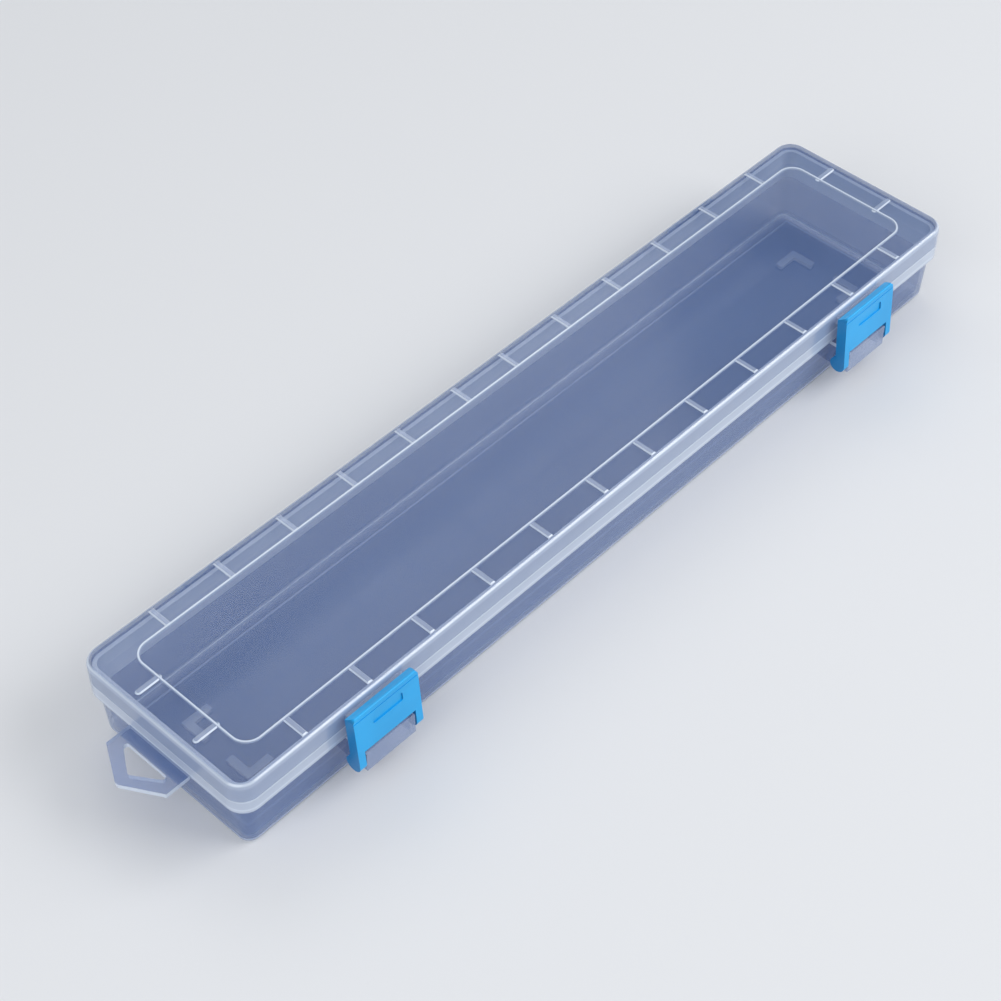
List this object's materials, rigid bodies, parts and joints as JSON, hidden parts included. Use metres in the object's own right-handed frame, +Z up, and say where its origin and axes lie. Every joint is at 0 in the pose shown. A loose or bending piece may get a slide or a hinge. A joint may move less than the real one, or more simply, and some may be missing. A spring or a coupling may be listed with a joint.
{
  "type": "brush box with hinged lid",
  "caption": "Long flat clear plastic box for brushes, with a ribbed lid on snap hinges, swing latches along the front and a hang tab on one end.",
  "frame": {"origin": "middle of the whole outline, with hang tab, latches and hinges, on the level that the feet stand on", "axes": "+X along the box, away from the hang tab; +Y to the hinge side, with the latches on -Y; +Z up out of the tray"},
  "size_m": [0.3828, 0.0894, 0.0367],
  "materials": {
    "clear_plastic": "natural clear polypropylene, smooth, slightly cloudy",
    "blue_plastic": "translucent blue polypropylene, smooth"
  },
  "bodies": {
    "tray": {"tray": "clear_plastic"},
    "lid": {"lid": "clear_plastic"},
    "latch_left": {"latch_left": "blue_plastic"},
    "latch_right": {"latch_right": "blue_plastic"}
  },
  "joints": [
    {"name": "lid_hinge", "type": "hinge", "parent": "tray", "child": "lid", "pos_m": [0.00893, 0.04265, 0.02765], "axis": [-1, 0, 0], "range_deg": [0, 180]},
    {"name": "latch_left_pivot", "type": "hinge", "parent": "tray", "child": "latch_left", "pos_m": [-0.11688, -0.04155, 0.0134], "axis": [1, 0, 0], "range_deg": [0, 110]},
    {"name": "latch_right_pivot", "type": "hinge", "parent": "tray", "child": "latch_right", "pos_m": [0.13473, -0.04155, 0.0134], "axis": [1, 0, 0], "range_deg": [0, 110]}
  ]
}
